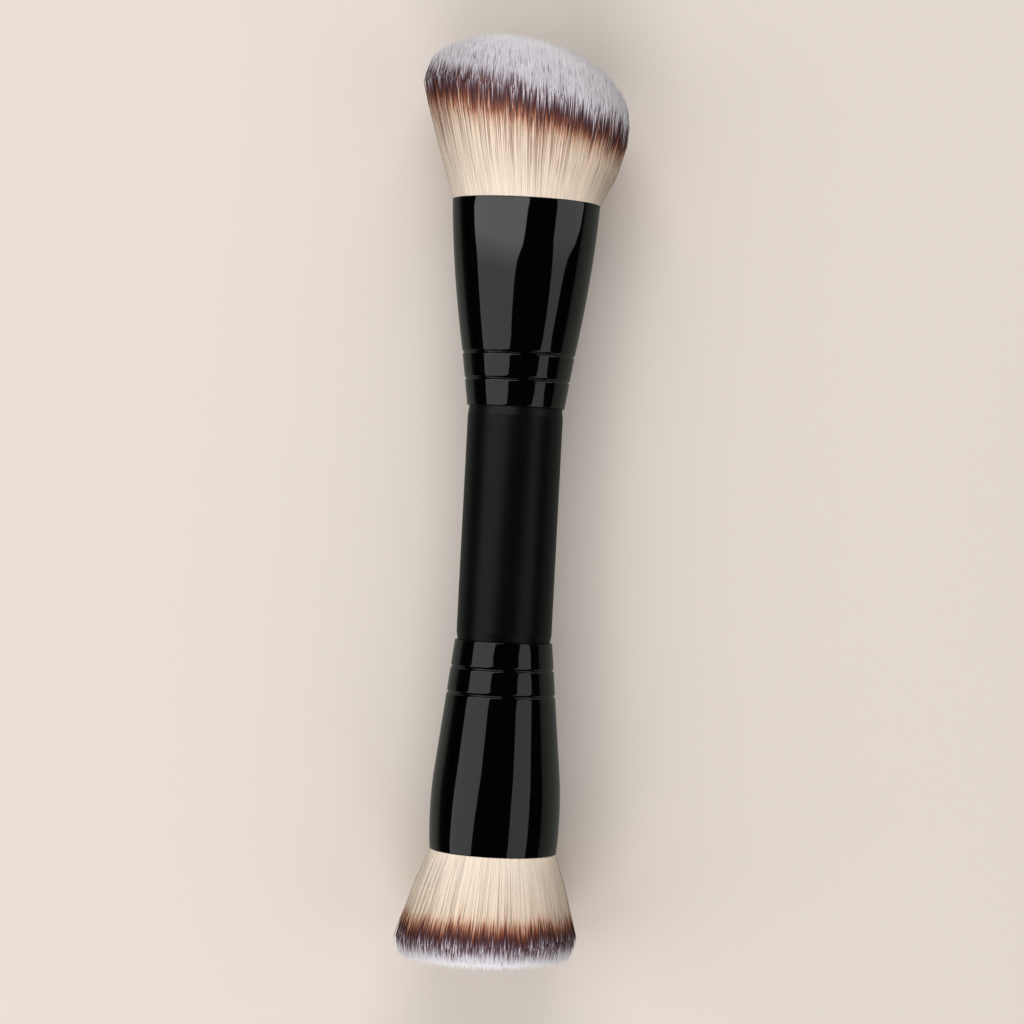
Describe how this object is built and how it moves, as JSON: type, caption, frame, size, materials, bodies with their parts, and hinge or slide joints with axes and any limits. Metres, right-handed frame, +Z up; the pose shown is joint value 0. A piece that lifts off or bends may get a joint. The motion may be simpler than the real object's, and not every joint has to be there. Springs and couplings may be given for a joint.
{
  "type": "double ended makeup brush",
  "caption": "Double ended face brush lying on its side: an angled oval tuft and a round flat-top tuft in gloss black ferrules on a matt black barrel.",
  "frame": {"origin": "middle of the footprint, on the surface that the brush lies on", "axes": "+Y along the brush towards its angled tuft, +X across it, +Z up from the surface"},
  "size_m": [0.0376, 0.1686, 0.0322],
  "materials": {
    "barrel_lacquer": "matt black lacquer on turned wood",
    "ferrule_lacquer": "gloss black lacquer on thin aluminium",
    "fibre": "fine synthetic fibre, cream with a dark band and pale tips",
    "thread": "waxed thread",
    "resin": "clear amber setting resin"
  },
  "bodies": {
    "root": {"handle": "barrel_lacquer", "angled_end_ferrule": "ferrule_lacquer", "angled_tuft": "fibre", "angled_knot_thread": "thread", "angled_glue_plug": "resin", "flat_end_ferrule": "ferrule_lacquer", "flat_top_tuft": "fibre", "flat_knot_thread": "thread", "flat_glue_plug": "resin"}
  },
  "joints": []
}
